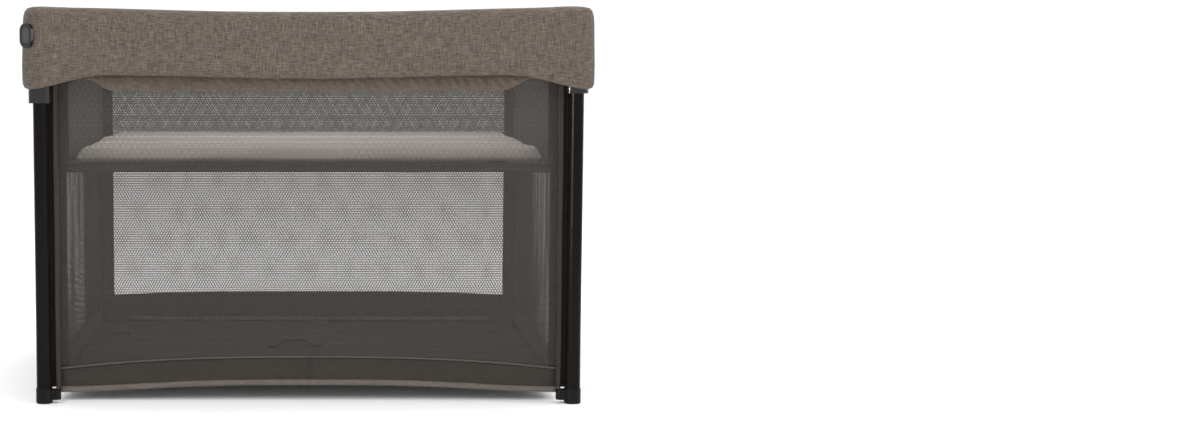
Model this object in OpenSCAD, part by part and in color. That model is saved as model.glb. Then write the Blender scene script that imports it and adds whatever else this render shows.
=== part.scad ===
// Folding travel playpen: four posts, scissor trusses front and back, folding end rails,
// fabric tub with mesh walls, upper bassinet and a mattress that folds along its middle.
// Origin: on the floor, under the centre of the pen. +X is the long side, -Y is the front, +Z is up.

/* [Overall] */
// Length over the padded cover
pen_len = 1054; // [1000:2:1080]
// Depth over the padded cover
pen_dep = 734; // [700:2:760]
// Height from the floor to the top of the cover
pen_h = 735; // [725:1:745]

/* [Posts] */
// Width of a post along the long side
post_w = 28; // [26:0.5:29]
// Depth of a post along the short side
post_d = 24; // [22:0.5:25]
// Wall of the aluminium post
post_wall = 1.6; // [1.2:0.1:2.5]
// Distance from a post's centre to the outside of the cover
post_in = 36; // [35.5:0.25:37]

/* [Scissor trusses] */
// Distance from a post's centre to the pivots on its bracket and slider
arm_x = 56; // [54:1:58]
// Slope of the scissor bars when the pen is set up, in degrees
slope = 8; // [7:0.5:9]
// Radius of the scissor bars
bar_r = 5; // [4.5:0.1:5.1]
// Height of the zigzag in each bar
zig = 13; // [6:1:15]
// Radius of the rivets
rivet_r = 3.5; // [3:0.1:4]

/* [End rails] */
// Distance from a post's centre to the end rail's pivot
arm_y = 45; // [43:1:50]
// Radius of the end rail tubes
rail_r = 7; // [6:0.1:7.2]

/* [Fabric] */
// Height of the cover's skirt from its lower edge to its top
cover_h = 145; // [135:1:150]
// Thickness of the cover's padding outside the frame
cover_t = 14; // [12:0.5:14]
// Height of the pen's fabric floor
floor_z = 44; // [40:1:50]
// Height of the bassinet's fabric floor
bass_z = 440; // [420:1:460]
// Thickness of the mattress
mat_t = 25; // [20:1:30]
// Radius of the cover's outer corners
corner_r = 48; // [46:1:50]

/* [Corner button] */
// Width of the oval bezel
bezel_w = 36; // [32:1:38]
// Height of the oval bezel
bezel_h = 43; // [38:1:46]
// Travel of the push button
press = 3; // [2:0.5:3.5]

/* [Hidden] */
$fn = 48;
e = 0.01;
run = 0.07;                              // running clearance round a rivet
px = pen_len / 2 - post_in;              // post centres
py = pen_dep / 2 - post_in;
pivot_x = px - arm_x;                    // scissor pivots at the posts
bar_l = pivot_x / cos(slope);            // pivot to pivot
z_top = pen_h - 52;                      // fixed pivots
z_sli = z_top - bar_l * sin(slope);      // sliding pivots
z_rail = pen_h - 45;                     // end rail pivots
rail_y = py - arm_y;                     // end rail pivots
lay = 6;                                 // scissor bars lie this far each side of the posts' plane
eye_h = 2 * (bar_r + 0.3);               // thickness of a bar's eye
rlay = 8;                                // end rails lie this far each side of the posts' plane
rail_eye = 2 * (rail_r + 0.3);
cz = pen_h - cover_h;                    // lower edge of the cover
wall_y = py - 22;                        // outer face of the front and back mesh
wall_x = px - 26;                        // outer face of the side mesh
tub_t = 3;                               // thickness of the tub's walls
bass_x = wall_x - 9;
bass_y = wall_y - 12;

// outline of a rounded rectangle, w by d, corner radius r
function rr(w, d, r, n = 6) = [for (q = [0:3]) for (i = [0:n])
  let (a = q * 90 + i * 90 / n, sx = (q == 0 || q == 3) ? 1 : -1, sy = q < 2 ? 1 : -1)
  [sx * (w / 2 - r) + r * cos(a), sy * (d / 2 - r) + r * sin(a)]];

module bored_y(x, z, r, y0, y1) { translate([x, y0, z]) rotate([-90, 0, 0]) cylinder(r = r, h = y1 - y0); }
module bored_x(y, z, r, x0, x1) { translate([x0, y, z]) rotate([0, 90, 0]) cylinder(r = r, h = x1 - x0); }

// puts a corner's parts, drawn with x and y pointing into the pen, at one of the four posts
module at_post(sx, sy) { translate([sx * px, sy * py, 0]) mirror([sx > 0 ? 1 : 0, 0, 0]) mirror([0, sy > 0 ? 1 : 0, 0]) children(); }

module post(sx, sy) { color("#2b2522") at_post(sx, sy) translate([0, 0, 4]) difference() {
  linear_extrude(pen_h - 39) polygon(rr(post_w, post_d, 11));
  translate([0, 0, -1]) linear_extrude(pen_h) polygon(rr(post_w - 2 * post_wall, post_d - 2 * post_wall, 11 - post_wall));
} }

// cap on the post's lower end, with a toe that points along the long side
module foot(sx, sy) { color("#141312") at_post(sx, sy) difference() {
  union() {
    linear_extrude(2) polygon(rr(post_w - 3, post_d - 3, 9.5));
    translate([0, 0, 2]) linear_extrude(26) polygon(rr(post_w + 2.4, post_d + 2.4, 11.5));
    translate([6, -8, 7]) cube([17, 16, 19]);
    translate([23, 0, 7]) cylinder(r = 8, h = 19);
  }
  translate([0, 0, 4]) linear_extrude(30) polygon(rr(post_w + 0.3, post_d + 0.3, 11.1));
} }

// corner housing on top of the post, with an arm for the scissor and one for the end rail
module top_bracket(sx, sy, scissor_outer, rail_outer) {
  s = scissor_outer ? 1 : -1;
  q = rail_outer ? 1 : -1;
  h0 = z_top - 28;
  color("#1a1817") at_post(sx, sy) difference() {
    union() {
      difference() {
        translate([0, 0, h0]) linear_extrude(pen_h - 27 - h0) polygon(rr(38, 33, 9));
        translate([0, 0, h0 - 1]) linear_extrude(pen_h - 35 - h0 + 1) polygon(rr(post_w + 0.3, post_d + 0.3, 11.1));
      }
      // scissor arm, on the other side of the bar's layer
      translate([17, s > 0 ? -0.3 : -12, z_top - 10]) cube([arm_x - 17, 12.3, 20]);
      bored_y(arm_x, z_top, 10, s > 0 ? -0.3 : -12, s > 0 ? 12 : 0.3);
      // end rail arm
      translate([q > 0 ? -0.3 : -12, 14.5, z_rail - 10]) cube([12.3, arm_y - 14.5, 20]);
      bored_x(arm_y, z_rail, 10, q > 0 ? -0.3 : -12, q > 0 ? 12 : 0.3);
      // stub axles with riveted heads
      bored_y(arm_x, z_top, rivet_r, s > 0 ? -12 : -1, s > 0 ? 1 : 12);
      bored_y(arm_x, z_top, rivet_r + 2.5, s > 0 ? -13.8 : 11.8, s > 0 ? -11.8 : 13.8);
      bored_x(arm_y, z_rail, rivet_r + 0.5, q > 0 ? -16 : -1, q > 0 ? 1 : 16);
      bored_x(arm_y, z_rail, rivet_r + 3, q > 0 ? -17.8 : 15.8, q > 0 ? -15.8 : 17.8);
    }
  }
}

// sleeve that runs down the post as the pen folds, with the arm that carries the sliding bar
module slider(sx, sy, bar_outer, tail) {
  s = bar_outer ? 1 : -1;
  color("#151413") at_post(sx, sy) difference() {
    union() {
      translate([0, 0, z_sli - tail]) linear_extrude(tail + 26) polygon(rr(41, 35, 9));
      translate([18, s > 0 ? -0.3 : -12, z_sli - 11]) cube([arm_x - 18, 12.3, 22]);
      bored_y(arm_x, z_sli, 11, s > 0 ? -0.3 : -12, s > 0 ? 12 : 0.3);
    }
    translate([0, 0, z_sli - tail - 1]) linear_extrude(tail + 28) polygon(rr(post_w + 1, post_d + 1, 11.5));
    bored_y(arm_x, z_sli, rivet_r + run, -20, 20);
  }
}

// one scissor bar: a zigzag flat bar with an eye at each end and one where the pair cross, drawn along +X
module zigzag_bar(up) {
  v = up ? zig : -zig;
  p = [[0, 0], [bar_l * 0.24, v], [bar_l * 0.76, -v], [bar_l, 0]];
  difference() {
    translate([0, eye_h / 2, 0]) rotate([90, 0, 0]) linear_extrude(eye_h) union() {
      for (i = [0:2]) let (a = p[i], b = p[i + 1], d = b - a)
        translate(a) rotate(atan2(d[1], d[0])) translate([0, -bar_r]) square([norm(d), 2 * bar_r]);
      for (i = [1:2]) translate(p[i]) circle(r = bar_r);
      for (x = [0, bar_l / 2, bar_l]) translate([x, 0]) circle(r = 8.5);
    }
    for (x = [0, bar_l / 2, bar_l]) bored_y(x, 0, rivet_r + run, -20, 20);
  }
}

// sy is the side of the pen, sx the half; a fixed bar hangs from the bracket, a sliding bar stands on the slider
module fixed_bar(sx, sy) { color("#3a322d") mirror([0, sy > 0 ? 1 : 0, 0]) mirror([sx > 0 ? 1 : 0, 0, 0])
  translate([-pivot_x, -py + (sx < 0 ? -lay : lay), z_top]) rotate([0, slope, 0]) zigzag_bar(false); }
module sliding_bar(sx, sy) { color("#3a322d") mirror([0, sy > 0 ? 1 : 0, 0]) mirror([sx > 0 ? 1 : 0, 0, 0])
  translate([-pivot_x, -py + (sx < 0 ? lay : -lay), z_sli]) rotate([0, -slope, 0]) zigzag_bar(true); }

// rivet through both layers of bars, heads outside them
module rivet(x, z, sy, extra = 0) { mirror([0, sy > 0 ? 1 : 0, 0]) {
  bored_y(x, z, rivet_r, -py - 13.4 - extra, -py + 13.4);
  bored_y(x, z, rivet_r + 2.5, -py - 14.4 - extra, -py - 12.4 - extra);
  bored_y(x, z, rivet_r + 2.5, -py + 12.4, -py + 14.4);
} }
module rivets_fixed_left(sy) { color("#8a857f") { rivet(-pivot_x / 2, (z_top + z_sli) / 2, sy); rivet(0, z_sli, sy); } }
module rivets_sliding_left(sy) { color("#8a857f") { rivet(-pivot_x, z_sli, sy); rivet(0, z_top, sy, 5); } }
module rivets_sliding_right(sy) { color("#8a857f") { rivet(pivot_x, z_sli, sy); rivet(pivot_x / 2, (z_top + z_sli) / 2, sy); } }

// plastic saddle over the centre of the truss, which carries the middle of the cover
module top_knuckle(sy) { color("#1a1817") mirror([0, sy > 0 ? 1 : 0, 0]) difference() {
  union() {
    translate([-24, -py - 16.7, z_top - 13]) cube([48, 4.7, 38]);
    translate([-24, -py - 16.7, z_top + 18]) cube([48, 30, 7]);
  }
  bored_y(0, z_top, rivet_r + run, -py - 20, -py - 10);
} }

// half of an end rail, drawn along +Y from its post pivot to the knee
module rail_half() {
  difference() {
    union() {
      translate([0, 0, 0]) rotate([-90, 0, 0]) cylinder(r = rail_r, h = rail_y);
      for (y = [0, rail_y]) bored_x(y, 0, 10, -rail_eye / 2, rail_eye / 2);
    }
    for (y = [0, rail_y]) bored_x(y, 0, rivet_r + 0.5 + run, -20, 20);
  }
}
module end_rail(sx, sy) { color("#2b2522") mirror([sx > 0 ? 1 : 0, 0, 0]) mirror([0, sy > 0 ? 1 : 0, 0])
  translate([-px + (sy < 0 ? -rlay : rlay), -rail_y, z_rail]) rail_half(); }
module knee_pin(sx) { color("#8a857f") mirror([sx > 0 ? 1 : 0, 0, 0]) {
  bored_x(0, z_rail, rivet_r + 0.5, -px - 17, -px + 17);
  bored_x(0, z_rail, rivet_r + 3, -px - 18, -px - 15.8);
  bored_x(0, z_rail, rivet_r + 3, -px + 15.8, -px + 18);
} }

// padded cover: an upside-down channel over the frame, sewn in four quarters, one to a post
module cover_quarter(sx, sy) {
  in_x = wall_x - 16; in_y = wall_y - 18;
  color("#8c7b69") mirror([sx > 0 ? 1 : 0, 0, 0]) mirror([0, sy > 0 ? 1 : 0, 0]) difference() {
    intersection() {
      translate([0, 0, cz]) linear_extrude(cover_h) polygon(rr(pen_len, pen_dep, corner_r));
      translate([-600, -400, 0]) cube([600 - 0.2, 400 - 0.2, pen_h + 10]);
    }
    translate([0, 0, cz - 1]) linear_extrude(cover_h - 22 + 1) difference() {
      polygon(rr(pen_len - 2 * cover_t, pen_dep - 2 * cover_t, 14));
      polygon(rr(2 * (in_x + 12), 2 * (in_y + 12), 20));
    }
    translate([0, 0, cz - 1]) linear_extrude(cover_h + 2) polygon(rr(2 * in_x, 2 * in_y, 12));
    // the inner leg stops above the bassinet
    translate([-in_x - 13, -in_y - 13, cz - 1]) cube([2 * in_x + 26, 2 * in_y + 26, 11]);
    // pocket for the button
    if (sx < 0 && sy < 0) {
      at_button(corner_r - 4) linear_extrude(20) polygon(rr(bezel_w + 0.6, bezel_h + 0.6, 14));
      at_button(corner_r - 9.6) linear_extrude(20) polygon(rr(bezel_w - 9.4, bezel_h - 9.4, 11));
    }
  }
}

module wall_long(sy) { color("#6b635c") mirror([0, sy > 0 ? 1 : 0, 0])
  translate([-wall_x, -wall_y, 32]) cube([2 * wall_x, tub_t, pen_h - 27 - 32]); }
module wall_short(sx) { color("#6b635c") mirror([sx > 0 ? 1 : 0, 0, 0])
  translate([-wall_x, -wall_y + tub_t + 0.3, 32]) cube([tub_t, 2 * (wall_y - tub_t - 0.3), pen_h - 27 - 32]); }
module floor_half(sy) { color("#4a433d") mirror([0, sy > 0 ? 1 : 0, 0])
  translate([-wall_x + tub_t + 0.5, -wall_y + tub_t + 0.5, floor_z]) cube([2 * (wall_x - tub_t - 0.5), wall_y - tub_t - 0.8, 3]); }

module bassinet_walls() { color("#5d5650") difference() {
  translate([0, 0, bass_z + 3.6]) linear_extrude(cz + 9 - bass_z - 4) polygon(rr(2 * bass_x, 2 * bass_y, 14));
  translate([0, 0, bass_z]) linear_extrude(cz) polygon(rr(2 * bass_x - 5, 2 * bass_y - 5, 11.5));
} }
module bassinet_floor(sy) { color("#4a433d") mirror([0, sy > 0 ? 1 : 0, 0])
  translate([-bass_x, -bass_y, bass_z]) cube([2 * bass_x, bass_y - 0.3, 3.4]); }

mat_x = bass_x - 7; mat_y = bass_y - 7;
module mattress_half(sy) { color("#a39c92") mirror([0, sy > 0 ? 1 : 0, 0])
  translate([-mat_x, -mat_y, bass_z + 3.8]) cube([2 * mat_x, mat_y - 0.3, mat_t]); }

// webbing loop sewn on the middle of the floor
module pull_strap() { color("#1d1a18") translate([-28, -8, floor_z + 3.2]) rotate([90, 0, 0]) linear_extrude(24) difference() {
  polygon([[-55, 0], [55, 0], [55, 2], [34, 2.5], [20, 16], [-20, 16], [-34, 2.5], [-55, 2]]);
  polygon([[-31, 2], [31, 2], [18.6, 13.6], [-18.6, 13.6]]);
} }

// frame of reference of the corner button: its own +Z points out of the front left corner, h from the corner's centre
module at_button(h) {
  translate([-pen_len / 2 + corner_r, -pen_dep / 2 + corner_r, pen_h - 54]) rotate([0, 0, -45]) rotate([90, 0, 0]) translate([0, 0, h]) children();
}
// oval cup let into the cover's corner
module corner_bezel() { color("#101010") difference() {
  union() {
    at_button(corner_r - 3.8) linear_extrude(4.8) polygon(rr(bezel_w, bezel_h, 14));
    at_button(corner_r - 9.1) linear_extrude(7) polygon(rr(bezel_w - 10, bezel_h - 10, 11));
  }
  at_button(corner_r - 7.9) linear_extrude(20) polygon(rr(bezel_w - 14, bezel_h - 14, 9));
} }
module corner_button() { color("#4f463f") {
  at_button(corner_r - 7.9 + press + 0.1) linear_extrude(5.6) polygon(rr(bezel_w - 14.8, bezel_h - 14.8, 8.6));
} }

post(-1, -1);  // post_front_left
post(1, -1);  // post_front_right
post(-1, 1);  // post_back_left
post(1, 1);  // post_back_right
foot(-1, -1);  // foot_front_left
foot(1, -1);  // foot_front_right
foot(-1, 1);  // foot_back_left
foot(1, 1);  // foot_back_right
top_bracket(-1, -1, true, true);  // top_bracket_front_left
top_bracket(1, -1, false, true);  // top_bracket_front_right
top_bracket(-1, 1, true, false);  // top_bracket_back_left
top_bracket(1, 1, false, false);  // top_bracket_back_right
slider(-1, -1, false, 64);  // slider_front_left
slider(1, -1, true, 46);  // slider_front_right
slider(-1, 1, false, 46);  // slider_back_left
slider(1, 1, true, 46);  // slider_back_right
fixed_bar(-1, -1);  // front_fixed_bar_left
fixed_bar(1, -1);  // front_fixed_bar_right
sliding_bar(-1, -1);  // front_sliding_bar_left
sliding_bar(1, -1);  // front_sliding_bar_right
fixed_bar(-1, 1);  // back_fixed_bar_left
fixed_bar(1, 1);  // back_fixed_bar_right
sliding_bar(-1, 1);  // back_sliding_bar_left
sliding_bar(1, 1);  // back_sliding_bar_right
rivets_fixed_left(-1);  // front_rivets_fixed_left
rivets_sliding_left(-1);  // front_rivets_sliding_left
rivets_sliding_right(-1);  // front_rivets_sliding_right
rivets_fixed_left(1);  // back_rivets_fixed_left
rivets_sliding_left(1);  // back_rivets_sliding_left
rivets_sliding_right(1);  // back_rivets_sliding_right
top_knuckle(-1);  // front_top_knuckle
top_knuckle(1);  // back_top_knuckle
end_rail(-1, -1);  // left_rail_front
end_rail(-1, 1);  // left_rail_back
end_rail(1, -1);  // right_rail_front
end_rail(1, 1);  // right_rail_back
knee_pin(-1);  // left_rail_knee_pin
knee_pin(1);  // right_rail_knee_pin
cover_quarter(-1, -1);  // cover_front_left
cover_quarter(1, -1);  // cover_front_right
cover_quarter(-1, 1);  // cover_back_left
cover_quarter(1, 1);  // cover_back_right
wall_long(-1);  // front_mesh_wall
wall_long(1);  // back_mesh_wall
wall_short(-1);  // left_mesh_wall
wall_short(1);  // right_mesh_wall
floor_half(-1);  // floor_front_half
floor_half(1);  // floor_back_half
bassinet_walls();
bassinet_floor(-1);  // bassinet_floor_front
bassinet_floor(1);  // bassinet_floor_back
mattress_half(-1);  // mattress_front_half
mattress_half(1);  // mattress_back_half
pull_strap();
corner_bezel();
corner_button();
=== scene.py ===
import math

import bpy
import numpy as np
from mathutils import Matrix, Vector, noise

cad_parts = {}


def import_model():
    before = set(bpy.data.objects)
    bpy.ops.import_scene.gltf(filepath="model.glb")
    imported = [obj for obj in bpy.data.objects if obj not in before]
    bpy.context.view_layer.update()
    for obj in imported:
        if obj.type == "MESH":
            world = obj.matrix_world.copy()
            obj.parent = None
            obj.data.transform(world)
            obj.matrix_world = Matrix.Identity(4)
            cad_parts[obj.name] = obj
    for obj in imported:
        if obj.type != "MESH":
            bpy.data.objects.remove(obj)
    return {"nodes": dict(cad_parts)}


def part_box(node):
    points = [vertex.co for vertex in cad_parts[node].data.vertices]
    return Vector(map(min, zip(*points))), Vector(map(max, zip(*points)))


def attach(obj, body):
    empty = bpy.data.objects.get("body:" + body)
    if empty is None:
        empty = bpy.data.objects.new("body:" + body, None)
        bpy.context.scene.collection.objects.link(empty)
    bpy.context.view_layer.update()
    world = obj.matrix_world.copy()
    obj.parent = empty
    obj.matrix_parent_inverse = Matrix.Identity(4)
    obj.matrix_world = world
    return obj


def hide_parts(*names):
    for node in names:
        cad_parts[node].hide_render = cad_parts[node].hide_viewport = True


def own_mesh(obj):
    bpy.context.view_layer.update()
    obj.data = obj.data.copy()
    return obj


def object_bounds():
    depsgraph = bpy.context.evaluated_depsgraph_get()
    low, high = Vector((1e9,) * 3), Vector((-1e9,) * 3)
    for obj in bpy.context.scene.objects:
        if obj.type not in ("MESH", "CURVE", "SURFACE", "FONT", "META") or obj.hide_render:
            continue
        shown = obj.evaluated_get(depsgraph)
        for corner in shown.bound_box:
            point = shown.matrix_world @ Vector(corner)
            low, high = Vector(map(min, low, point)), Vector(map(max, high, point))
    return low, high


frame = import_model()
cad_box = [list(map(float, c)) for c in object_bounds()]
V = Vector

# ---------------------------------------------------------------- sizes, from the frame
def mid(node):
    a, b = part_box(node)
    return (V(a) + V(b)) / 2

lo, hi = V(cad_box[0]), V(cad_box[1])
HX, HY, ZT = hi.x, hi.y, hi.z                    # half length, half depth, top
PX, PY = abs(mid("post_front_left").x), abs(mid("post_front_left").y)
WX = -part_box("left_mesh_wall")[0][0]              # outer faces of the walls
WY = -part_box("front_mesh_wall")[0][1]
BX = -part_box("bassinet_walls")[0][0]
BY = -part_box("bassinet_walls")[0][1]
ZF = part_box("floor_front_half")[1][2]             # top of the floor
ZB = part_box("bassinet_floor_front")[1][2]         # top of the bassinet's floor
M0, M1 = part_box("mattress_front_half")
MX, MY, MZ0, MZ1 = -M0[0], -M0[1], M0[2], M1[2]
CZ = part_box("cover_front_left")[0][2]
CORNER = {(-1, -1): "corner_front_left", (1, -1): "corner_front_right", (-1, 1): "corner_back_left", (1, 1): "corner_back_right"}
SIDE = {-1: "left", 1: "right"}
END = {-1: "front", 1: "back"}


# ---------------------------------------------------------------- materials
class Nodes:
    def __init__(self, name):
        self.m = bpy.data.materials.new(name)
        self.m.use_nodes = True
        self.t = self.m.node_tree
        self.p = self.t.nodes["Principled BSDF"]
        self.co = self.t.nodes.new("ShaderNodeTexCoord").outputs["Object"]

    def n(self, kind, **kw):
        node = self.t.nodes.new(kind)
        for k, v in kw.items():
            setattr(node, k, v)
        return node

    def link(self, a, b):
        self.t.links.new(a, b)

    def noise(self, scale, detail=3.0, rough=0.55, stretch=(1, 1, 1), off=(0, 0, 0)):
        m = self.n("ShaderNodeMapping")
        m.inputs["Scale"].default_value = stretch
        m.inputs["Location"].default_value = off
        self.link(self.co, m.inputs["Vector"])
        t = self.n("ShaderNodeTexNoise")
        t.inputs["Scale"].default_value = scale
        t.inputs["Detail"].default_value = detail
        t.inputs["Roughness"].default_value = rough
        self.link(m.outputs[0], t.inputs["Vector"])
        return t.outputs["Fac"]

    def ramp(self, fac, stops, interp="LINEAR"):
        r = self.n("ShaderNodeValToRGB")
        r.color_ramp.interpolation = interp
        e = r.color_ramp.elements
        while len(e) < len(stops):
            e.new(0.5)
        for el, (pos, c) in zip(e, stops):
            el.position = pos
            el.color = (*c, 1) if len(c) == 3 else c
        self.link(fac, r.inputs["Fac"])
        return r.outputs["Color"]

    def math(self, op, a, b=None):
        m = self.n("ShaderNodeMath", operation=op)
        for i, x in enumerate((a, b)):
            if x is None:
                continue
            if isinstance(x, (int, float)):
                m.inputs[i].default_value = x
            else:
                self.link(x, m.inputs[i])
        return m.outputs[0]

    def mix(self, fac, a, b, blend="MIX"):
        m = self.n("ShaderNodeMix", data_type="RGBA", blend_type=blend)
        for s, x in (("Factor", fac), ("A", a), ("B", b)):
            i = [q for q in m.inputs if q.name == s and (q.type == "RGBA" or s == "Factor")][0]
            if isinstance(x, (int, float)):
                i.default_value = x
            elif isinstance(x, tuple):
                i.default_value = (*x, 1)
            else:
                self.link(x, i)
        return [o for o in m.outputs if o.type == "RGBA"][0]

    def bump(self, height, strength, dist, under=None):
        b = self.n("ShaderNodeBump")
        b.inputs["Strength"].default_value = strength
        b.inputs["Distance"].default_value = dist
        self.link(height, b.inputs["Height"])
        if under is not None:
            self.link(under, b.inputs["Normal"])
        return b.outputs["Normal"]

    def xyz(self):
        s = self.n("ShaderNodeSeparateXYZ")
        self.link(self.co, s.inputs[0])
        return s.outputs

    def set(self, **kw):
        for k, v in kw.items():
            k = k.replace("_", " ")
            i = self.p.inputs[k]
            if isinstance(v, (int, float)):
                i.default_value = v
            elif isinstance(v, tuple):
                i.default_value = (*v, 1) if len(v) == 3 else v
            else:
                self.link(v, i)
        return self


def srgb(r, g, b, k=1.0):
    f = lambda c: (c / 255 / 12.92) if c / 255 <= 0.04045 else ((c / 255 + 0.055) / 1.055) ** 2.4
    return tuple(min(1.0, f(c) * k) for c in (r, g, b))


def weave(nd, pitch=0.0011, k=0.5):
    """Plain weave height: two sets of threads crossing."""
    x, y, z = nd.xyz()
    w = 2 * math.pi / pitch
    u = nd.math("ADD", x, y)
    a = nd.math("SINE", nd.math("MULTIPLY", u, w))
    b = nd.math("SINE", nd.math("MULTIPLY", z, w))
    return nd.math("MULTIPLY", a, b)


def fabric(name, dark, base, light, slub=1.0, rough=0.92, sheen=0.25, puff=0.35, fine_scale=60, thread=6.5):
    nd = Nodes(name)
    across = nd.noise(fine_scale, 4, 0.6, (1, 1, thread))
    down = nd.noise(fine_scale, 4, 0.6, (thread, thread, 1), (3.1, 1.7, 0.4))
    fine = nd.noise(900, 2, 0.6)
    s = nd.math("ADD", nd.math("MULTIPLY", across, 0.42), nd.math("MULTIPLY", down, 0.36))
    s = nd.math("ADD", s, nd.math("MULTIPLY", fine, 0.22))
    lo_, hi_ = 0.5 - 0.13 / slub, 0.5 + 0.13 / slub
    col = nd.ramp(s, [(lo_, dark), (0.5, base), (hi_, light)])
    broad = nd.noise(5, 3)
    col = nd.mix(nd.math("MULTIPLY", broad, 0.25), col, tuple(c * 0.72 for c in base))
    n1 = nd.bump(weave(nd), 0.35, 0.0003)
    n2 = nd.bump(s, 0.35, 0.0012, n1)
    n3 = nd.bump(nd.noise(18, 3, 0.5), puff, 0.006, n2)
    nd.set(Base_Color=col, Roughness=rough, Normal=n3, Sheen_Weight=sheen, Sheen_Roughness=0.5, Specular_IOR_Level=0.15)
    return nd.m


def net(name, thread, light, cover, pitch=0.0046, rough=0.85, soft=0.35, low=0.0, high=1.0):
    """Knitted net with round holes in a triangular pattern; the holes are transparent."""
    nd = Nodes(name)
    x, y, z = nd.xyz()
    u = nd.math("ADD", x, y)
    k = 2 * math.pi * 2 / (math.sqrt(3) * pitch)
    ku, kz = nd.math("MULTIPLY", u, k), nd.math("MULTIPLY", z, k)
    half = nd.math("MULTIPLY", kz, 0.5)
    long_ = nd.math("MULTIPLY", ku, math.sqrt(3) / 2)
    f = nd.math("ADD", nd.math("COSINE", kz), nd.math("COSINE", nd.math("ADD", half, long_)))
    f = nd.math("ADD", f, nd.math("COSINE", nd.math("SUBTRACT", long_, half)))
    thr = {0.42: -0.55, 0.5: -0.3, 0.58: 0.05, 0.65: 0.35, 0.72: 0.7}[cover]
    m = nd.n("ShaderNodeMapRange")
    m.inputs["From Min"].default_value = thr - soft
    m.inputs["From Max"].default_value = thr + soft
    m.inputs["To Min"].default_value = high
    m.inputs["To Max"].default_value = low
    nd.link(f, m.inputs["Value"])
    col = nd.ramp(nd.noise(700, 2), [(0.35, thread), (0.65, light)])
    nd.set(Base_Color=col, Roughness=rough, Alpha=m.outputs["Result"], Specular_IOR_Level=0.2,
           Normal=nd.bump(f, 0.5, 0.0006))
    return nd.m


def gloss(name, col, rough, coat=0.0, metal=0.0, grain=0.15, spec=0.5):
    nd = Nodes(name)
    n = nd.noise(240, 4, 0.6)
    c = nd.mix(nd.noise(30, 3), tuple(x * 0.8 for x in col), tuple(x * 1.25 for x in col))
    r = nd.n("ShaderNodeMapRange")
    r.inputs["To Min"].default_value = max(0.03, rough - 0.05)
    r.inputs["To Max"].default_value = rough + 0.07
    nd.link(n, r.inputs["Value"])
    nd.set(Base_Color=c, Roughness=r.outputs["Result"], Metallic=metal, Coat_Weight=coat, Coat_Roughness=0.08,
           Specular_IOR_Level=spec, Normal=nd.bump(nd.noise(1400, 2), grain, 0.0002))
    return nd.m


COVER = fabric("cover_melange", srgb(56, 50, 44), srgb(83, 75, 67), srgb(112, 103, 93), slub=1.2, sheen=0.08, fine_scale=58, thread=10)
PUCKER = fabric("puckered_strip", srgb(72, 62, 55), srgb(95, 85, 76), srgb(116, 105, 95), slub=0.9, sheen=0.06, fine_scale=58, thread=10)
LINING = fabric("lining_dark", srgb(54, 50, 47), srgb(67, 62, 58), srgb(80, 75, 71), slub=0.5, puff=0.5, sheen=0.06)
BAND = fabric("lower_band", srgb(43, 39, 36), srgb(53, 49, 45), srgb(62, 57, 53), slub=0.5, puff=0.3, sheen=0.05)
BIND = fabric("binding_tape", srgb(74, 68, 62), srgb(94, 87, 81), srgb(112, 104, 97), slub=0.6, sheen=0.1)
DARKBIND = fabric("dark_tape", srgb(38, 34, 31), srgb(50, 45, 41), srgb(62, 56, 52), slub=0.6, sheen=0.05)
MATT = fabric("mattress_cloth", srgb(190, 182, 176), srgb(202, 195, 189), srgb(213, 207, 202), slub=0.5, puff=0.6, sheen=0.1)
WEB = fabric("webbing", srgb(10, 9, 8), srgb(17, 15, 14), srgb(26, 24, 22), slub=0.6, sheen=0.0)
TH = (srgb(62, 58, 54), srgb(82, 77, 73))
NET = net("mesh_net", *TH, 0.5, 0.0026)
NETBACK = net("mesh_net_back", *TH, 0.5, 0.0060, soft=0.8, low=0.30, high=0.84)
NETSIDE = net("mesh_net_side", *TH, 0.72, 0.0040)
NETB = net("mesh_net_bassinet", *TH, 0.5, 0.0050, soft=0.8, low=0.12, high=0.84)
NETF = net("mesh_net_bassinet_front", *TH, 0.42, 0.0034, low=0.0, high=0.5)
LINING2 = fabric("lining_light", srgb(66, 61, 57), srgb(79, 74, 70), srgb(92, 87, 83), slub=0.5, puff=0.5, sheen=0.06)
TUBE = gloss("lacquered_tube", srgb(14, 12, 11), 0.16, coat=0.0, metal=0.0, spec=0.07)
BAR = gloss("lacquered_bar", srgb(46, 41, 37), 0.33, coat=0.0, metal=0.2, spec=0.4)
PLASTIC = gloss("moulded_plastic", srgb(14, 13, 12), 0.38, grain=0.35, spec=0.12)
PLASTIC2 = gloss("sleeve_plastic", srgb(16, 14, 13), 0.18, grain=0.15, coat=0.0, spec=0.45)
RIVET = gloss("rivet_steel", srgb(190, 187, 182), 0.3, metal=1.0)
BUTTON = gloss("button_face", srgb(44, 40, 37), 0.3, grain=0.3, spec=0.4)
BEZEL = gloss("bezel_plastic", srgb(8, 8, 8), 0.18, grain=0.15, spec=0.3)
PIPE = fabric("piping_cord", srgb(64, 59, 55), srgb(80, 75, 71), srgb(96, 91, 87), slub=0.5, sheen=0.03)
SEAMTAPE = fabric("seam_tape", srgb(108, 104, 100), srgb(140, 136, 131), srgb(170, 166, 161), slub=1.0, sheen=0.03)

for name, ob in frame["nodes"].items():
    if name.startswith("post"):
        m = TUBE
    elif "rivets" in name or "knee_pin" in name:
        m = RIVET
    elif "rail" in name:
        m = TUBE
    elif "bar" in name:
        m = BAR
    elif name.startswith("slider"):
        m = PLASTIC2
    elif name == "corner_button":
        m = BUTTON
    elif name == "corner_bezel":
        m = BEZEL
    else:
        m = PLASTIC
    ob.data.materials.clear()
    ob.data.materials.append(m)


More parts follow.
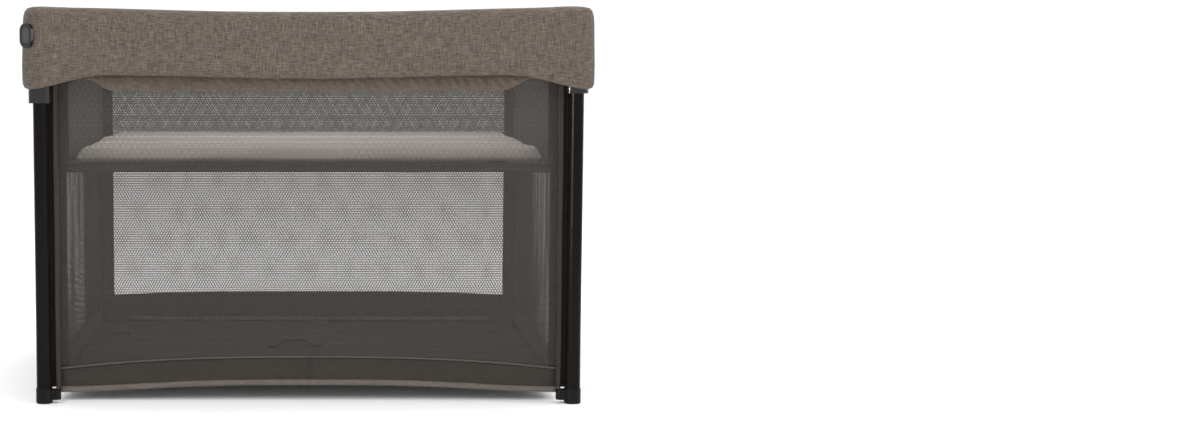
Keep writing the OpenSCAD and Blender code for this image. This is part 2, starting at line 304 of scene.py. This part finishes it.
# ---------------------------------------------------------------- mesh helpers
def obj(name, verts, faces, mat, smooth=True):
    me = bpy.data.meshes.new(name)
    me.from_pydata([tuple(v) for v in verts], [], faces)
    me.validate()
    me.update()
    if smooth:
        me.polygons.foreach_set("use_smooth", [True] * len(me.polygons))
    o = bpy.data.objects.new(name, me)
    bpy.context.scene.collection.objects.link(o)
    me.materials.append(mat)
    return o


def grid(name, f, nu, nv, mat, close_v=False, flip=False):
    """Surface through f(u, v), u and v from 0 to 1."""
    verts = [f(i / nu, j / nv) for i in range(nu + 1) for j in range(nv + (0 if close_v else 1))]
    w = nv + (0 if close_v else 1)
    faces = []
    for i in range(nu):
        for j in range(nv):
            a, b = i * w + j, i * w + (j + 1) % w
            q = (a, b, b + w, a + w)
            faces.append(q[::-1] if flip else q)
    return obj(name, verts, faces, mat)


def tube(name, pts, r, mat, sides=10, flat=1.0):
    """Closed round cord through pts."""
    verts, faces = [], []
    n = len(pts)
    for i, p in enumerate(pts):
        d = (V(pts[min(i + 1, n - 1)]) - V(pts[max(i - 1, 0)])).normalized()
        a = d.cross(V((0, 0, 1)))
        a = a.normalized() if a.length > 1e-4 else V((1, 0, 0))
        b = d.cross(a).normalized()
        for k in range(sides):
            t = 2 * math.pi * k / sides
            verts.append(V(p) + a * (r * math.cos(t)) + b * (r * flat * math.sin(t)))
    for i in range(n - 1):
        for k in range(sides):
            a0, a1 = i * sides + k, i * sides + (k + 1) % sides
            faces.append((a0, a1, a1 + sides, a0 + sides))
    faces.append(tuple(range(sides))[::-1])
    faces.append(tuple((n - 1) * sides + k for k in range(sides)))
    return obj(name, verts, faces, mat)


def thicken(o, t, off=0.0):
    m = o.modifiers.new("cloth thickness", "SOLIDIFY")
    m.thickness = t
    m.offset = off
    apply(o)
    return o


def apply(o):
    dg = bpy.context.evaluated_depsgraph_get()
    me = bpy.data.meshes.new_from_object(o.evaluated_get(dg))
    o.modifiers.clear()
    o.data = me
    me.polygons.foreach_set("use_smooth", [True] * len(me.polygons))


def area(o):
    return sum(p.area for p in o.data.polygons)


def wob(x, y, z, s=1.0, amp=1.0):
    return amp * noise.noise(V((x * s, y * s, z * s)))


def smooth(t):
    t = max(0.0, min(1.0, t))
    return t * t * (3 - 2 * t)


# the walls' half spreads less 22 mm
SEAM_X, SEAM_Y = WX - 0.022, WY - 0.022

# ---------------------------------------------------------------- camera, light, floor
cam = bpy.data.cameras.new("camera")
cam.lens = 49.65
cam.sensor_width = 36.0
cam.shift_x = 0.243
cam.shift_y = -0.028
camera = bpy.data.objects.new("camera", cam)
bpy.context.scene.collection.objects.link(camera)
camera.location = (0.0, -HY - 3.0, 0.666)
camera.rotation_euler = (math.radians(90 - 4.7), 0, 0)
bpy.context.scene.camera = camera

world = bpy.data.worlds.new("studio")
world.use_nodes = True
world.node_tree.nodes["Background"].inputs[0].default_value = (1, 1, 1, 1)
world.node_tree.nodes["Background"].inputs[1].default_value = 1.06
bpy.context.scene.world = world
bpy.context.scene.view_settings.view_transform = "Standard"


def lamp(name, loc, aim, size, power, spread=180):
    d = bpy.data.lights.new(name, "AREA")
    d.shape = "RECTANGLE"
    d.size, d.size_y = size
    d.energy = power
    d.spread = math.radians(spread)
    o = bpy.data.objects.new(name, d)
    bpy.context.scene.collection.objects.link(o)
    o.location = loc
    o.rotation_euler = (V(aim) - V(loc)).to_track_quat("-Z", "Y").to_euler()


lamp("key", (-1.6, -2.6, 2.6), (0, 0, 0.4), (1.6, 1.6), 34)
lamp("strip_right", (1.8, -2.4, 0.62), (-0.49, -0.33, 0.42), (0.10, 1.7), 1.6, 24)
lamp("strip_left", (-1.5, -2.8, 0.62), (0.49, -0.33, 0.42), (0.10, 1.7), 1.6, 24)
lamp("rim", (2.4, -0.6, 1.4), (0, 0, 0.4), (0.5, 1.8), 22)
lamp("top", (0.2, 0.3, 3.2), (0, 0, 0.3), (2.4, 2.0), 60)

fl = obj("studio_floor", [(-40, -40, 0), (40, -40, 0), (40, 40, 0), (-40, 40, 0)], [(0, 1, 2, 3)], None or COVER, smooth=False)
nd = Nodes("studio_white")
nd.set(Base_Color=nd.mix(nd.noise(3, 2), (0.97, 0.97, 0.97), (0.98, 0.98, 0.98)), Roughness=0.6, Specular_IOR_Level=0.2)
fl.data.materials.clear()
fl.data.materials.append(nd.m)

# ---------------------------------------------------------------- padded cover
RC = 0.048


def outline(hx, hy, r, s):
    """Point and outward normal of a quarter of a rounded rectangle: s from 0 (middle of the front) through 1..2 (corner) to 3 (middle of the left side)."""
    if s <= 1:
        x = -(hx - r) * s
        return V((x, -hy, 0)), V((0, -1, 0))
    if s <= 2:
        a = (s - 1) * math.pi / 2
        n = V((-math.sin(a), -math.cos(a), 0))
        return V((-(hx - r), -(hy - r), 0)) + n * r, n
    y = -(hy - r) * (3 - s)
    return V((-hx, y, 0)), V((-1, 0, 0))


PROFILE = [  # PROFILE = [ # distance in from the outer face, the edge the height is taken from (lo: the cover's lower edge, hi: the top, in: 0.5995 m), and the height from it in metres
    (0.0035, "lo", 0.000), (0.0012, "lo", 0.006), (0.0006, "lo", 0.016), (0.0000, "lo", 0.040), (0.0000, "lo", 0.075),
    (0.0004, "hi", -0.030), (0.0012, "hi", -0.018), (0.0036, "hi", -0.0095), (0.0080, "hi", -0.0040), (0.0150, "hi", -0.0010),
    (0.0260, "hi", 0.0000), (0.0400, "hi", 0.0000), (0.0540, "hi", -0.0002), (0.0640, "hi", -0.0016), (0.0710, "hi", -0.0050),
    (0.0755, "hi", -0.0120), (0.0775, "hi", -0.0250), (0.0780, "hi", -0.0600), (0.0780, "in", 0.012), (0.0770, "in", 0.002),
    (0.0720, "in", 0.000), (0.0670, "in", 0.004), (0.0660, "hi", -0.0600), (0.0640, "hi", -0.0260), (0.0560, "hi", -0.0222),
    (0.0300, "hi", -0.0222), (0.0190, "hi", -0.0240), (0.0142, "hi", -0.0380), (0.0138, "lo", 0.060), (0.0120, "lo", 0.012),
    (0.0100, "lo", 0.003), (0.0066, "lo", -0.0012),
]


def low_edge(p):
    """Height of the cover's lower edge along its run: it dips over the posts and lifts in the middle."""
    ax, ay = abs(p.x), abs(p.y)
    front = smooth((HX - ax) / 0.155)
    side = smooth((HY - ay) / 0.155)
    rise = max(front if ay > HY - 0.05 else 0, side if ax > HX - 0.05 else 0)
    sag = -0.006 * smooth((0.36 - ax) / 0.36) if ay > HY - 0.05 else -0.004 * smooth((0.2 - ay) / 0.2)
    return 0.5835 + 0.0265 * rise + sag


def cover_part(name, sx, sy, s0, s1, ns):
    depth = 0.0785
    nx, ny, ir = HX - depth, HY - depth, 0.012

    def f(u, v):
        s = s0 + (s1 - s0) * u
        k = int(round(v * len(PROFILE))) % len(PROFILE)
        d, kind, h = PROFILE[k]
        po, n = outline(HX, HY, RC, s)
        pi, _ = outline(nx, ny, ir, s)
        t = d / depth
        p = po.lerp(pi, t)
        zl = low_edge(po)
        z = {"lo": zl + h, "hi": ZT + h, "in": 0.5995 + h}[kind]
        corner = 1 - min(1, abs(s - 1.5) / 0.9)
        lean = 0.0
        if kind in ("lo", "hi") and k <= 12:
            # the cloth pulls in a little between the corners and puckers near the lower edge
            q = V((p.x * sx * -1, p.y * sy * -1, z))
            lean = 0.0016 * (1 - smooth(corner)) + 0.0012 * (noise.noise(q * 9) + 0.4)
            if kind == "lo":
                lean += 0.0009 * noise.noise(V((q.x * 38, q.y * 38, q.z * 9)))
            if kind == "hi" and 0.008 < d:
                z += 0.0008 * (noise.noise(q * 12) - 0.9) - 0.0016 * (1 - smooth(corner))
        if kind == "hi" and s < 1.2:
            z -= 0.0085 * smooth(1.15 - s) ** 0.8 * (1 - (s if s < 1 else 1) ** 2 * 0.35)
        if kind == "hi" and s > 1.8:
            z -= 0.0035 * smooth(s - 1.85)
        if k <= 12:
            lean += 0.0022 * smooth((z - 0.62) / 0.11)
        p = p - n * max(0.0, lean)
        return V((p.x * (1 if sx < 0 else -1), p.y * (1 if sy < 0 else -1), z))

    return grid(name, f, ns, len(PROFILE), COVER, close_v=True, flip=(sx * sy < 0))


S1 = SEAM_X and (0.395 / (HX - RC))
covers = []
for (sx, sy), body in CORNER.items():
    tag = f"{END[sy]}_{SIDE[sx]}"
    s_long = 0.415 / (HX - RC)
    s_short = 3 - 0.26 / (HY - RC)
    a = cover_part(f"cover_long_{tag}", sx, sy, 0.0, s_long, 40)
    b = cover_part(f"cover_corner_{tag}", sx, sy, s_long, s_short, 46)
    c = cover_part(f"cover_short_{tag}", sx, sy, s_short, 3.0, 26)
    for o in (a, b, c):
        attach(o, body)
        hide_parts(f"cover_{tag}")
    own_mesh(a)
    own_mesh(c)
    covers += [a, b, c]

# points round the cover's outline, pushed out by out, at the height z_of gives
def seam_line(name, sx, sy, s0, s1, z_of, n, out=0.0006):
    pts = []
    for i in range(n + 1):
        s = s0 + (s1 - s0) * i / n
        p, nn = outline(HX, HY, RC, s)
        p = p + nn * out
        pts.append(V((p.x * (1 if sx < 0 else -1), p.y * (1 if sy < 0 else -1), z_of(p))))
    return pts


# ---------------------------------------------------------------- walls
def wall_z0(a, half):
    """Lower edge of a wall: lower at the corners."""
    return 0.034 - 0.013 * smooth(abs(a) / half) ** 2


def band_z(a, half, side):
    if side == "front":
        return 0.083 - 0.022 * (abs(a) / half) ** 2.5
    if side == "back":
        return 0.112 - 0.010 * (abs(a) / half) ** 3
    return 0.084 - 0.006 * (abs(a) / half) ** 2


ZW = CZ + 0.012
sheets = []


def place(side, a, off, z):
    """Point on a wall: a along it, off inwards from its outer face."""
    if side == "front":
        return V((a, -WY + off, z))
    if side == "back":
        return V((a, WY - off, z))
    if side == "left":
        return V((-WX + off, a, z))
    return V((WX - off, a, z))


def crease(side, a, z, amp=0.0012):
    return amp * noise.noise(V((a * 5 + hash_side(side), z * 4, 0.3))) + 1.1 * amp * noise.noise(V((a * 21 + 3, z * 1.6, hash_side(side))))


def hash_side(side):
    return {"front": 1.3, "back": 4.7, "left": 8.1, "right": 11.9}[side]


def wall_sheet(name, side, a0, a1, z0, z1, nu, nv, mat, off=0.0014, amp=0.0012):
    def f(u, v):
        a = a0 + (a1 - a0) * u
        zl, zh = z0(a), z1(a)
        z = zl + (zh - zl) * v
        return place(side, a, off + abs(crease(side, a, z, amp)), z)
    return grid(name, f, nu, nv, mat)


def half_wall(side, sgn, body, node):
    long_ = side in ("front", "back")
    half = WX if long_ else WY
    far = half - 0.0005
    strip = 0.030 if side == "back" else (0.016 if side == "front" else 0.030)
    edge = far - strip
    z0 = lambda a: wall_z0(a, half)
    zb = lambda a: band_z(a, half, side)
    top = lambda a: ZW + (0.0 if long_ else 0.0)
    zs = lambda a: ZW + 0.004
    out = []
    tag = f"{side}_{'left' if (long_ and sgn < 0) else 'right' if long_ else ('front' if sgn < 0 else 'back')}"
    o = wall_sheet(f"net_{tag}", side, 0, sgn * edge, zb, zs, 30, 40, {"front": NET, "back": NETBACK}.get(side, NETSIDE))
    if not long_:
        thicken(o, 0.0012)
    out.append(o)
    o = wall_sheet(f"wall_band_{tag}", side, 0, sgn * far, z0, zb, 34, 8, BAND if side == "front" else LINING2, 0.0010, 0.0022)
    out.append(thicken(o, 0.0009))
    o = wall_sheet(f"wall_edge_{tag}", side, sgn * edge, sgn * far, zb, zs, 4, 40, DARKBIND if side == "front" else LINING2, 0.0010, 0.0008)
    out.append(thicken(o, 0.0009))

    # puckered strip under the cover
    def fp(u, v):
        a = sgn * far * u
        up = smooth((abs(a) - (half - 0.105)) / 0.06) * 0.024
        z = ZW - 0.0215 + 0.028 * v + up * (1 - v)
        g = 0.0016 * noise.noise(V((a * 42, v * 1.6, hash_side(side)))) + 0.0010 * math.sin(a * 190 + 3 * noise.noise(V((a * 11, 1, 1))))
        g += 0.0015 * math.sin((a + 0.020 * v) * 330 + 5 * noise.noise(V((a * 9, 2, hash_side(side))))) * math.sin(math.pi * v)
        return place(side, a, -0.0008 + 0.0024 * abs(math.sin(math.pi * v)) * -1 + g, z + 0.0012 * noise.noise(V((a * 20, 0, 9))))
    o = grid(f"pucker_{tag}", fp, 190, 8, PUCKER)
    out.append(thicken(o, 0.0010))
    for o in out:
        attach(o, body)
        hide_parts(node)
        # flat sizes as cut: span by height, the puckered strip 8% longer than its span
        if o.name.startswith("net_"):
            flat = (edge, zs(0) - zb(half / 2))
        elif o.name.startswith("wall_band"):
            flat = (far, zb(half / 2) - z0(half / 2))
        elif o.name.startswith("wall_edge"):
            flat = (strip, zs(0) - zb(far))
        else:
            flat = (far * 1.08, 0.030)
    # piping and bottom binding
    pts = [place(side, sgn * far * i / 60, -0.0012, zb(sgn * far * i / 60)) for i in range(61)]
    p = tube(f"piping_{tag}", pts, 0.0017, PIPE)
    pts = [place(side, sgn * far * i / 60, 0.0012, z0(sgn * far * i / 60)) for i in range(61)]
    q = tube(f"hem_{tag}", pts, 0.0042, BIND, flat=1.3)
    for o in (p, q):
        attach(o, body)
    out += [p, q]
    for o in out:
        if long_:
            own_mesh(o)
        else:
            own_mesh(o)
    return out


half_wall("front", -1, "corner_front_left", "front_mesh_wall")
half_wall("front", 1, "corner_front_right", "front_mesh_wall")
half_wall("back", -1, "corner_back_left", "back_mesh_wall")
half_wall("back", 1, "corner_back_right", "back_mesh_wall")
half_wall("left", -1, "corner_front_left", "left_mesh_wall")
half_wall("left", 1, "corner_back_left", "left_mesh_wall")
half_wall("right", -1, "corner_front_right", "right_mesh_wall")
half_wall("right", 1, "corner_back_right", "right_mesh_wall")

for (sx, sy), body in CORNER.items():
    for k, (p0, p1) in enumerate((((WX - 0.001, WY - 0.0005), (PX - 0.008, PY - 0.0190)), ((WX - 0.001, WY - 0.0005), (PX - 0.0218, PY - 0.006)))):
        def fc(u, v, p0=p0, p1=p1):
            bow = 0.0018 * math.sin(math.pi * u) + 0.0014 * noise.noise(V((u * 2, v * 5, sx + 2 * sy)))
            x = p0[0] + (p1[0] - p0[0]) * u
            y = p0[1] + (p1[1] - p0[1]) * u
            bow *= 0.5
            return V((sx * (x - bow), sy * (y - bow), 0.026 + (CZ + 0.010 - 0.026) * v))
        o = thicken(grid(f"corner_sleeve_{END[sy]}_{SIDE[sx]}_{k + 1}", fc, 6, 40, DARKBIND), 0.0012)
        math.dist(p0, p1)
        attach(o, body)

# ---------------------------------------------------------------- floor
for sy, body in ((-1, "floor_front"), (1, "floor_back")):
    def ff(u, v, sy=sy):
        x = -WX + 0.005 + (2 * WX - 0.010) * u
        y = sy * (WY - 0.004) * v
        return V((x, y, ZF - 0.0016 + 0.0011 * noise.noise(V((x * 4, y * 4, 2)))))
    o = grid(f"floor_{END[sy]}", ff, 60, 26, LINING)
    thicken(o, 0.0016)
    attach(o, body)
    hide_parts(f"floor_{END[sy]}_half")
    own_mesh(o)

# ---------------------------------------------------------------- bassinet
ZBT = 0.5985


def bass(side, a, off, z):
    if side == "front":
        return V((a, -BY + off, z))
    if side == "back":
        return V((a, BY - off, z))
    if side == "left":
        return V((-BX + off, a, z))
    return V((BX - off, a, z))


def half_bass(side, sgn, body):
    long_ = side in ("front", "back")
    half = (BX if long_ else BY) - 0.0012
    tag = f"{side}_{'left' if (long_ and sgn < 0) else 'right' if long_ else ('front' if sgn < 0 else 'back')}"
    zlo, zhi = ZB - 0.003, ZBT
    panel = (half - 0.010 if side == "front" else half - 0.020) if long_ else 0.0
    parts = []

    def f(a0, a1, amp, off=0.0012):
        def g(u, v):
            a = a0 + (a1 - a0) * u
            z = zlo + (zhi - zlo) * v
            return bass(side, a, off + abs(crease(side, a, z * 2, amp)), z)
        return g
    if long_:
        parts.append(grid(f"bassinet_net_{tag}", f(0, sgn * panel, 0.0016), 26, 14, NETF if side == "front" else NETB))
    o = grid(f"bassinet_panel_{tag}", f(sgn * panel, sgn * half, 0.0026), 24, 14, LINING2)
    parts.append(thicken(o, 0.0008))
    for o in parts:
        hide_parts("bassinet_walls")
    if long_:
        pts = [bass(side, sgn * (panel + 0.002), 0.0004, zlo + (zhi - zlo) * i / 20) for i in range(21)]
        t = tube(f"bassinet_seam_{tag}", pts, 0.0016, DARKBIND)
        parts.append(t)
    pts = [bass(side, sgn * half * i / 50, 0.0006, zlo + 0.001) for i in range(51)]
    t = tube(f"bassinet_hem_{tag}", pts, 0.0030, DARKBIND)
    parts.append(t)

    # painted shadow: a band of the darkest band cloth hung below the bassinet floor, standing for the shade under the
    # bassinet
    def fh(u, v):
        a = sgn * half * u
        z = zlo + 0.003 - 0.0155 * v
        return bass(side, a, 0.0006 + 0.0012 * noise.noise(V((a * 14, v, hash_side(side)))), z + 0.0012 * noise.noise(V((a * 8, v * 2, 5))))
    t = thicken(grid(f"bassinet_shadow_skirt_{tag}", fh, 60, 4, BAND), 0.0010)
    parts.append(t)
    for o in parts:
        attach(o, body)
        if long_:
            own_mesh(o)
        else:
            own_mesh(o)


half_bass("front", -1, "corner_front_left")
half_bass("front", 1, "corner_front_right")
half_bass("back", -1, "corner_back_left")
half_bass("back", 1, "corner_back_right")
half_bass("left", -1, "corner_front_left")
half_bass("left", 1, "corner_back_left")
half_bass("right", -1, "corner_front_right")
half_bass("right", 1, "corner_back_right")

for sy, body in ((-1, "bassinet_front"), (1, "bassinet_back")):
    def fb(u, v, sy=sy):
        x = -BX + 0.004 + (2 * BX - 0.008) * u
        y = sy * (BY - 0.004) * v
        return V((x, y, ZB - 0.0020))
    o = grid(f"bassinet_base_{END[sy]}", fb, 40, 20, LINING)
    thicken(o, 0.0016)
    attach(o, body)
    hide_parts(f"bassinet_floor_{END[sy]}")
    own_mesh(o)

# mattress: thin quilted pad in two halves
def mattress(sy):
    nu, nv = 120, 40
    hx, hy = MX - 0.004, MY - 0.004
    verts, faces = [], []
    t0 = MZ0 + 0.001
    th = MZ1 - MZ0

    def top(x, y):
        e = min(1.0, (hx - abs(x)) / 0.030)
        g = min(1.0, (hy - abs(y)) / 0.026)
        r = math.sqrt(max(0.0, 1 - (1 - e) ** 2)) * math.sqrt(max(0.0, 1 - (1 - g) ** 2))
        q = V((x, y, 0))
        n = 0.0016 * noise.noise(q * 7) + 0.0012 * noise.noise(V((x * 16, y * 5, 1)))
        drag = 0.0010 * math.sin(60 * (x + 0.35 * y)) * smooth((abs(x) - 0.25) / 0.2)
        return t0 + (th - 0.002) * (0.08 + 0.92 * r) + (n + drag) * r
    def bot(x, y):
        e = min(1.0, (hx - abs(x)) / 0.022)
        g = min(1.0, (hy - abs(y)) / 0.020)
        r = math.sqrt(max(0.0, 1 - (1 - e) ** 2)) * math.sqrt(max(0.0, 1 - (1 - g) ** 2))
        return t0 + 0.36 * th * (1 - r)

    def spread(t):  # finer near the ends
        return math.sin(t * math.pi / 2) if abs(t) <= 1 else t
    xs = [hx * spread(-1 + 2 * i / nu) for i in range(nu + 1)]
    ys = [sy * hy * spread(j / nv) for j in range(nv + 1)]
    for x in xs:
        for y in ys:
            edge_x = 0.0015 * noise.noise(V((y * 24, 3, sy)))
            verts.append(V((x + (edge_x if abs(x) > hx - 0.02 else 0), y, top(x, y))))
    base = len(verts)
    for x in xs:
        for y in ys:
            verts.append(V((x, y, bot(x, y))))
    w = nv + 1
    for i in range(nu):
        for j in range(nv):
            a = i * w + j
            q = (a, a + w, a + w + 1, a + 1)
            faces.append(q if sy > 0 else q[::-1])
            q = (base + a, base + a + 1, base + a + w + 1, base + a + w)
            faces.append(q if sy > 0 else q[::-1])
    for i in range(nu):
        for j in (0, nv):
            a, b = i * w + j, (i + 1) * w + j
            q = (a, b, base + b, base + a)
            faces.append(q if (j == nv) == (sy > 0) else q[::-1])
    for j in range(nv):
        for i in (0, nu):
            a, b = i * w + j, i * w + j + 1
            q = (a, b, base + b, base + a)
            faces.append(q if (i == 0) == (sy > 0) else q[::-1])
    return obj(f"mattress_{END[sy]}", verts, faces, MATT)


def swell(o, voxel, pressure, cap, fix):
    """Puff the pad up by cloth simulation; no point moves further than cap, and fix(p) pulls a point back where the pad is held."""
    apply_stack(o, voxel)
    rest = [v.co.copy() for v in o.data.vertices]
    c = o.modifiers.new("Cloth", "CLOTH")
    c.settings.quality = 4
    c.settings.mass = 0.25
    c.settings.use_pressure = True
    c.settings.uniform_pressure_force = pressure
    c.settings.tension_stiffness = 12
    c.settings.compression_stiffness = 4
    c.settings.shear_stiffness = 4
    c.settings.bending_stiffness = 0.6
    c.settings.effector_weights.gravity = 0
    c.point_cache.frame_start, c.point_cache.frame_end = 1, 14
    sc = bpy.context.scene
    for fr in range(1, 15):
        sc.frame_set(fr)
    dg = bpy.context.evaluated_depsgraph_get()
    ev = o.evaluated_get(dg)
    moved = [v.co.copy() for v in ev.data.vertices]
    o.modifiers.clear()
    sc.frame_set(1)
    for v, a, b in zip(o.data.vertices, rest, moved):
        d = b - a
        if d.length > cap:
            d = d * (cap / d.length)
        v.co = fix(a + d)
    o.data.update()


def apply_stack(o, voxel):
    m = o.modifiers.new("remesh", "REMESH")
    m.mode = "VOXEL"
    m.voxel_size = voxel
    apply(o)
    if not o.data.materials:
        o.data.materials.append(MATT)


for sy, body in ((-1, "bassinet_front"), (1, "bassinet_back")):
    o = mattress(sy)
    def fix(p, sy=sy):
        y = max(0.0006, sy * p.y)
        return V((max(-MX + 0.002, min(MX - 0.002, p.x)), sy * min(y, MY - 0.002), max(MZ0 + 0.0006, min(MZ1 + 0.004, p.z))))
    swell(o, 0.0062, 5.0, 0.006, fix)
    # the cover's slack cloth: creases along the front edge and towards the ends
    for v in o.data.vertices:
        p = v.co
        e = smooth((abs(p.x) - MX + 0.16) / 0.12)
        f = smooth((abs(p.y) - MY + 0.05) / 0.04)
        w = 0.0026 * noise.noise(V((p.x * 6, p.z * 60, sy))) * f + 0.0034 * noise.noise(V((p.x * 34, p.y * 10, p.z * 40))) * e
        n = v.normal
        q = p + V((n.x, n.y, n.z)) * w
        v.co = V((max(-MX + 0.001, min(MX - 0.001, q.x)), sy * max(0.0004, min(sy * q.y, MY - 0.001)), max(MZ0 + 0.0004, min(MZ1 + 0.005, q.z))))
    o.data.update()
    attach(o, body)
    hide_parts(f"mattress_{END[sy]}_half")
    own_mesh(o)

# ---------------------------------------------------------------- pull strap
s0, s1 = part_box("pull_strap")
sc = (V(s0) + V(s1)) / 2
def strap(u, v):
    a = (u - 0.5) * 2
    x = sc.x + 0.055 * a
    z = ZF + 0.0012 + 0.0125 * smooth((0.75 - abs(a)) / 0.4)
    return V((x + 0.002 * math.sin(3 * v), sc.y - 0.011 + 0.022 * v + 0.002 * a, z + 0.0008 * noise.noise(V((u * 6, v * 2, 1)))))
o = grid("pull_strap_web", strap, 60, 8, WEB)
thicken(o, 0.0016)
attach(o, "floor_front")
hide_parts("pull_strap")
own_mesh(o)

def flatpatch(name, x0, x1, y0, y1, z, body, mat, t=0.0014):
    def f(u, v):
        x, y = x0 + (x1 - x0) * u, y0 + (y1 - y0) * v
        return V((x, y, z + 0.0006 * noise.noise(V((x * 30, y * 30, 4)))))
    o = grid(name, f, 12, 12, mat)
    thicken(o, t)
    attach(o, body)
    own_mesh(o)


def seamstrip(u, v):
    x = -0.40 + 0.80 * u
    return V((x, WY - 0.0062 - 0.0012 * math.sin(v * math.pi) + 0.0008 * noise.noise(V((x * 30, v, 2))), ZF + 0.001 + 0.0098 * v + 0.0014 * noise.noise(V((x * 12, 1, 7)))))


for sgn, body in ((-1, "corner_back_left"), (1, "corner_back_right")):
    o = grid(f"seam_tape_{SIDE[sgn]}", lambda u, v, sgn=sgn: seamstrip(0.5 + sgn * 0.5 * u, v), 80, 4, SEAMTAPE)
    thicken(o, 0.0010)
    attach(o, body)
    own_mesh(o)

flatpatch("floor_tab", 0.046, 0.092, WY - 0.040, WY - 0.008, ZF + 0.0022, "floor_back", WEB)
flatpatch("floor_patch", -0.418, -0.382, 0.112, 0.150, ZF + 0.0014, "floor_back", WEB)
